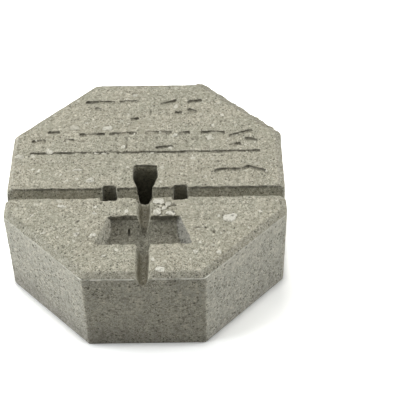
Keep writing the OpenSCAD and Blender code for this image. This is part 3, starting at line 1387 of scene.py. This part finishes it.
@dataclass
class Studio:
    """Pale floor, soft lights and the camera."""

    view: View = field(default_factory=View)
    sky: tuple[float, float, float, float] = rgba(0.104, 0.100, 0.091)
    paper: tuple[float, float, float, float] = rgba(0.66, 0.66, 0.64)
    white: tuple[float, float, float, float] = rgba(1.0, 1.0, 1.0)
    floor_reach: float = 6.0
    contact_reach: float = 9 * MM
    fade_start: float = 0.8
    fade_end: float = 1.2
    lamps: tuple[Lamp, ...] = (
        Lamp("left window", 270.0, 21.0, 2.6, 2.02, 72.5, (0.95, 0.98, 1.0)),
        Lamp("right panel", 90.0, 21.0, 3.6, 2.8, 91.0, (0.95, 0.98, 1.0)),
        Lamp("top panel", 345.0, 71.0, 3.4, 1.5, 42.0, (1.0, 0.985, 0.95)),
    )

    def build(self) -> None:
        """Makes the floor, the lights and the camera."""
        self._floor()
        for lamp in self.lamps:
            self._lamp(lamp)
        self._sky()
        self._camera()
        bpy.context.scene.view_settings.view_transform = "Standard"

    def _floor(self) -> None:
        """A wide floor that shows white, keeps a faint shadow and has a contact shadow painted in near the
        block from its ambient occlusion.
        """
        mesh = bpy.data.meshes.new("floor")
        r = self.floor_reach
        mesh.from_pydata([(-r, -r, 0), (r, -r, 0), (r, r, 0), (-r, r, 0)], [], [(0, 1, 2, 3)])
        floor = link("floor", mesh)
        material = bpy.data.materials.new("Pale floor")
        material.use_nodes = True
        g = Graph(material.node_tree)
        paper = g.node("ShaderNodeBsdfDiffuse", {}, {"Color": self.paper}).out(0)
        values = {"Distance": self.contact_reach}
        # Painted contact shadow: the floor's white darkens with its ambient occlusion near the block.
        open_air = g.node("ShaderNodeAmbientOcclusion", {"samples": 16}, values).out("AO")
        tone = open_air * 0.9 + 0.1
        paper_white = g.node("ShaderNodeCombineColor", {}, {0: tone, 1: tone, 2: tone}).out(0)
        white = g.node("ShaderNodeBsdfDiffuse", {}, {"Color": paper_white}).out(0)
        bright = g.node("ShaderNodeAddShader", {}, {0: white, 1: white}).out(0)
        place = g.node("ShaderNodeTexCoord").out("Object")
        away = g.node("ShaderNodeVectorMath", {"operation": "LENGTH"}, {0: place}).out("Value")
        plain = g.node("ShaderNodeEmission", {}, {"Color": self.white, "Strength": 1.0}).out(0)
        bright = self._mix(g, away.step(self.fade_start, self.fade_end), bright, plain)
        g.node("ShaderNodeOutputMaterial", {}, {0: self._mix(g, self._seen(g), paper, bright)})
        mesh.materials.append(material)

    def _mix(self, g: Graph, factor: Sock, first: Sock, second: Sock) -> Sock:
        """Mixes two shaders by a factor."""
        return g.node("ShaderNodeMixShader", {}, {0: factor, 1: first, 2: second}).out(0)

    def _seen(self, g: Graph) -> Sock:
        """1 for what the camera sees, straight or in a reflection.

        Args:
            g: graph of the floor's material or of the world.

        Returns:
            1 or 0.
        """
        path = g.node("ShaderNodeLightPath")
        reflected = path.out("Is Glossy Ray").larger(path.out("Is Transmission Ray"))
        return path.out("Is Camera Ray").larger(reflected)

    def _lamp(self, lamp: Lamp) -> None:
        """Hangs one lamp and aims it at the middle of the block.

        Args:
            lamp: the lamp's place, size and strength.
        """
        light = bpy.data.lights.new(lamp.name, "AREA")
        light.size = lamp.size
        light.energy = lamp.power
        light.color = lamp.colour
        obj = link(lamp.name, light)
        turn, rise = math.radians(lamp.azimuth), math.radians(lamp.elevation)
        away = Vector((math.sin(turn) * math.cos(rise), math.cos(turn) * math.cos(rise), math.sin(rise)))
        obj.location = away * lamp.distance
        obj.rotation_euler = away.to_track_quat("Z", "Y").to_euler()

    def _sky(self) -> None:
        """Even light from all round, which shows white."""
        world = bpy.data.worlds.new("Studio air")
        world.use_nodes = True
        g = Graph(world.node_tree)
        air = g.node("ShaderNodeBackground", {}, {"Color": self.sky, "Strength": 1.0}).out(0)
        white = g.node("ShaderNodeBackground", {}, {"Color": self.white, "Strength": 1.0}).out(0)
        g.node("ShaderNodeOutputWorld", {}, {0: self._mix(g, self._seen(g), air, white)})
        bpy.context.scene.world = world

    def _camera(self) -> None:
        """Places the camera from its angles."""
        v = self.view
        rise, turn, roll = (math.radians(a) for a in (v.elevation, v.azimuth, v.roll))
        look = Vector((math.sin(turn) * math.cos(rise), math.cos(turn) * math.cos(rise), -math.sin(rise)))
        right = Vector((math.cos(turn), -math.sin(turn), 0))
        up = right.cross(look)
        across = right * math.cos(roll) + up * math.sin(roll)
        upward = up * math.cos(roll) - right * math.sin(roll)
        camera = bpy.data.cameras.new("camera")
        camera.lens = v.lens
        camera.sensor_width = v.sensor
        camera.clip_start = 0.05
        obj = link("camera", camera)
        turned = Matrix((across, upward, -look)).transposed().to_4x4()
        obj.matrix_world = Matrix.Translation(Vector(v.place)) @ turned
        bpy.context.scene.camera = obj


def main() -> None:
    """Builds the casting, its stones and the studio."""
    logging.basicConfig(level=logging.INFO, format="%(name)s: %(message)s")
    plan = CastingPlan.from_frame(NODE)

    block = CastBlock(plan).build()
    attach(block, BODY)
    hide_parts(NODE)
    LOG.info("cast block: %d faces", len(block.data.polygons))

    stones = ExposedStones(plan).build()
    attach(stones, BODY)
    LOG.info("exposed stones: %d faces", len(stones.data.polygons))

    Studio().build()


if __name__ == "__main__":
    main()
